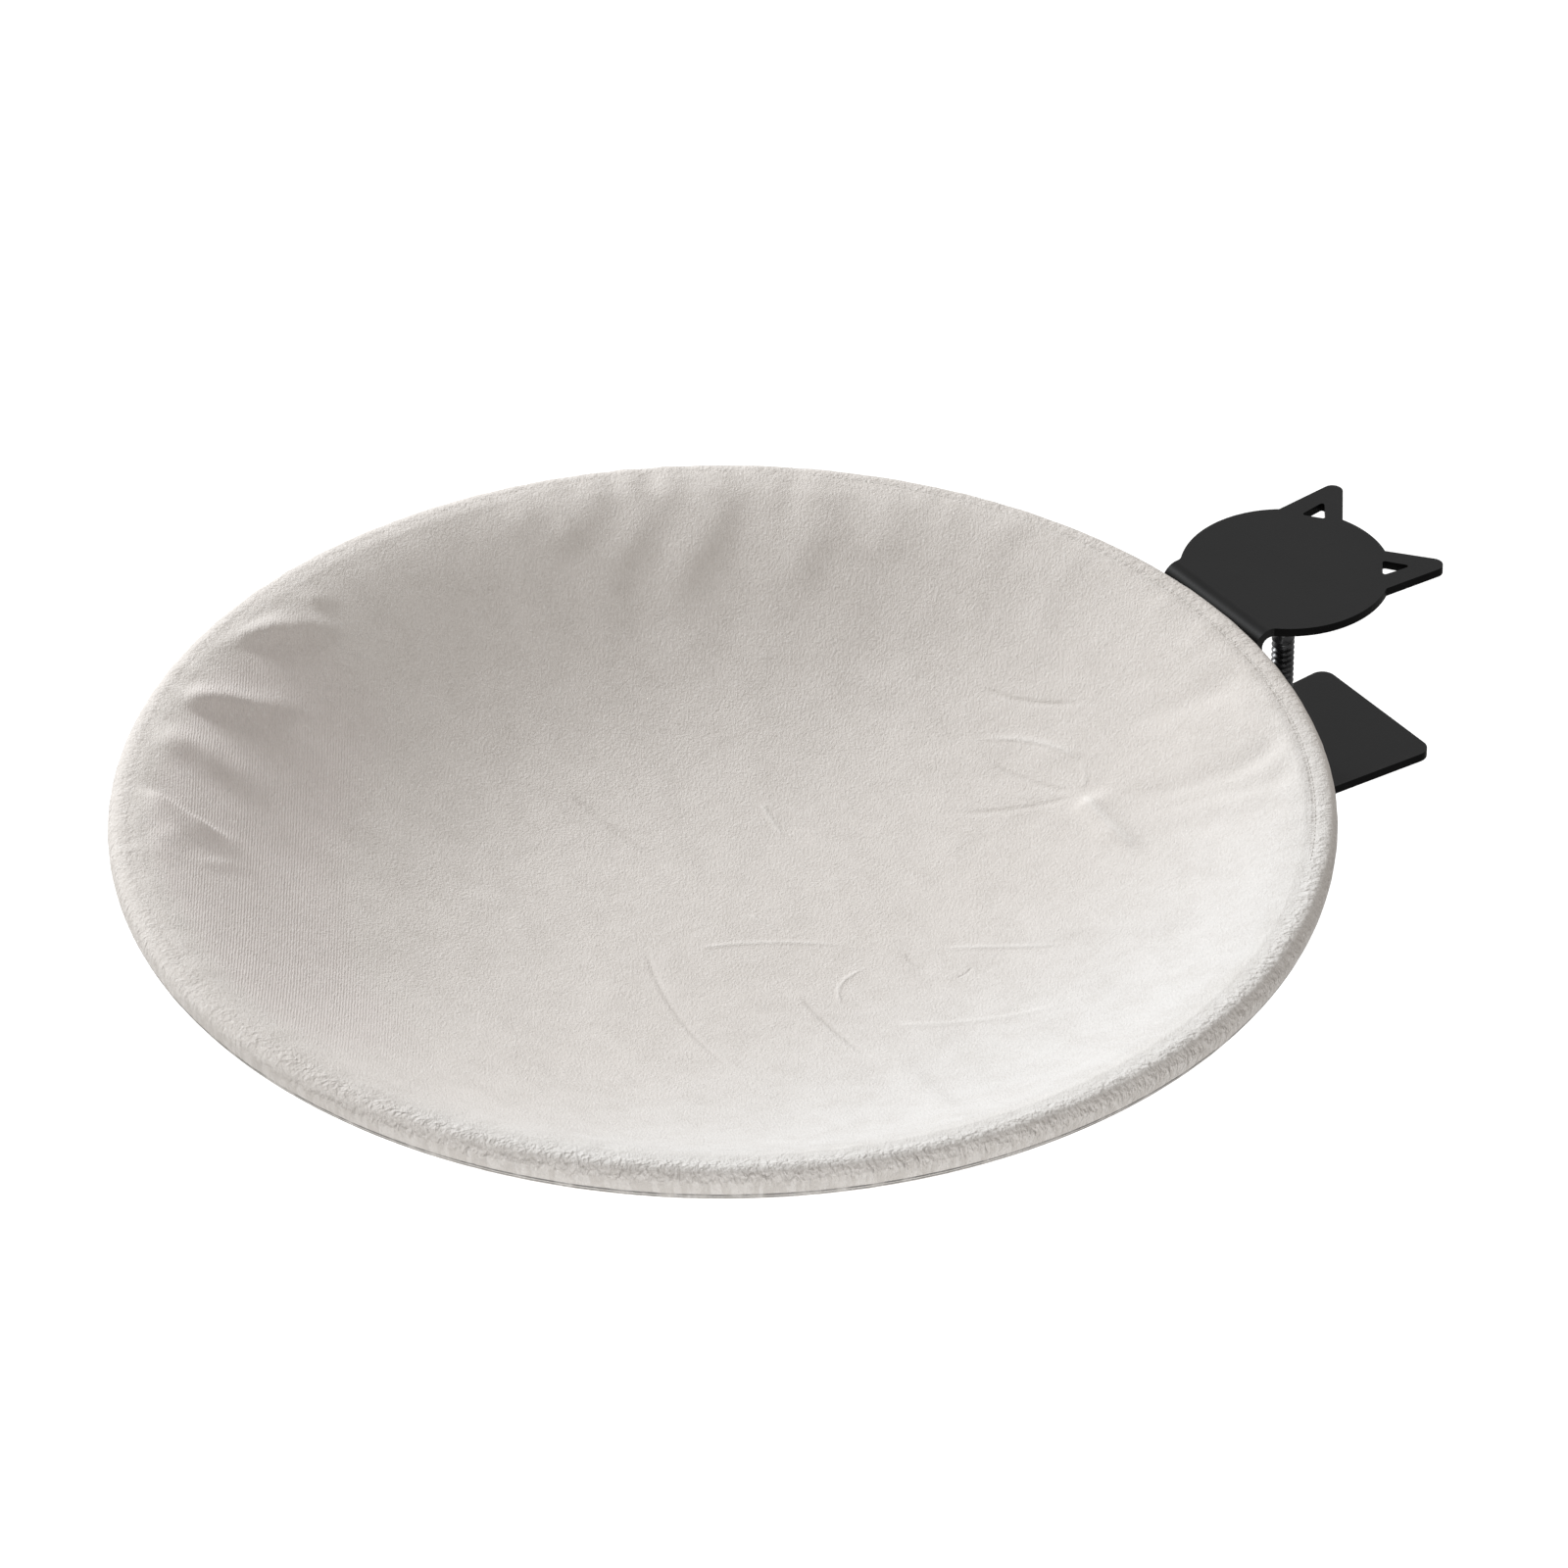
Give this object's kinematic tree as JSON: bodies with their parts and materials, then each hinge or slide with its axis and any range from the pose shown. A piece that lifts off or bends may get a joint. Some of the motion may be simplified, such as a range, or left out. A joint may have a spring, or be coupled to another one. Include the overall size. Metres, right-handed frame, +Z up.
{
  "type": "clamp-on desk cat hammock",
  "caption": "Round plush cat hammock on a steel hoop, held to a desk edge by a screw clamp whose upper jaw is cut as a cat head.",
  "frame": {"origin": "middle of the clamp's upper seat, on the underside of the rubber pad and on the axis of the clamp screw", "axes": "+Y points into the desk and the hammock hangs out towards -Y, +Z is up, X runs along the desk's edge"},
  "size_m": [0.413, 0.4932, 0.1094],
  "materials": {
    "bracket_coat": "matte black powder coat",
    "pad_rubber": "matte moulded rubber",
    "dark_steel": "black-oxide steel",
    "zinc_steel": "zinc plate",
    "plush": "off-white short-pile plush",
    "knob_plastic": "fine-grained moulded plastic"
  },
  "bodies": {
    "hammock_and_bracket": {"clamp_bracket": "bracket_coat", "top_jaw_pad": "pad_rubber", "bracket_weld_nut": "bracket_coat", "support_hoop": "bracket_coat", "hoop_mounting_tab": "bracket_coat", "mount_screw_1": "dark_steel", "mount_screw_2": "dark_steel", "mount_screw_3": "dark_steel", "mount_screw_4": "dark_steel", "mount_nut_1": "zinc_steel", "mount_nut_2": "zinc_steel", "mount_nut_3": "zinc_steel", "mount_nut_4": "zinc_steel", "fabric_sling": "plush"},
    "pressure_foot": {"foot_cup": "dark_steel", "foot_rubber": "pad_rubber"},
    "screw_and_knob": {"clamp_screw": "dark_steel", "clamp_knob": "knob_plastic", "knob_lock_nut": "zinc_steel", "knob_cap": "knob_plastic"}
  },
  "joints": [
    {"name": "foot_travel", "type": "slide", "parent": "hammock_and_bracket", "child": "pressure_foot", "axis": [0, 0, 1], "range_m": [-0.054, 0.0045]},
    {"name": "screw_turn", "type": "hinge", "parent": "pressure_foot", "child": "screw_and_knob", "pos_m": [0, 0, 0], "axis": [0, 0, 1], "range_deg": [-8460, 720]}
  ],
  "couplings": [
    {"joint": "screw_turn", "follows": "foot_travel", "rad_per_m": 2731.8}
  ]
}
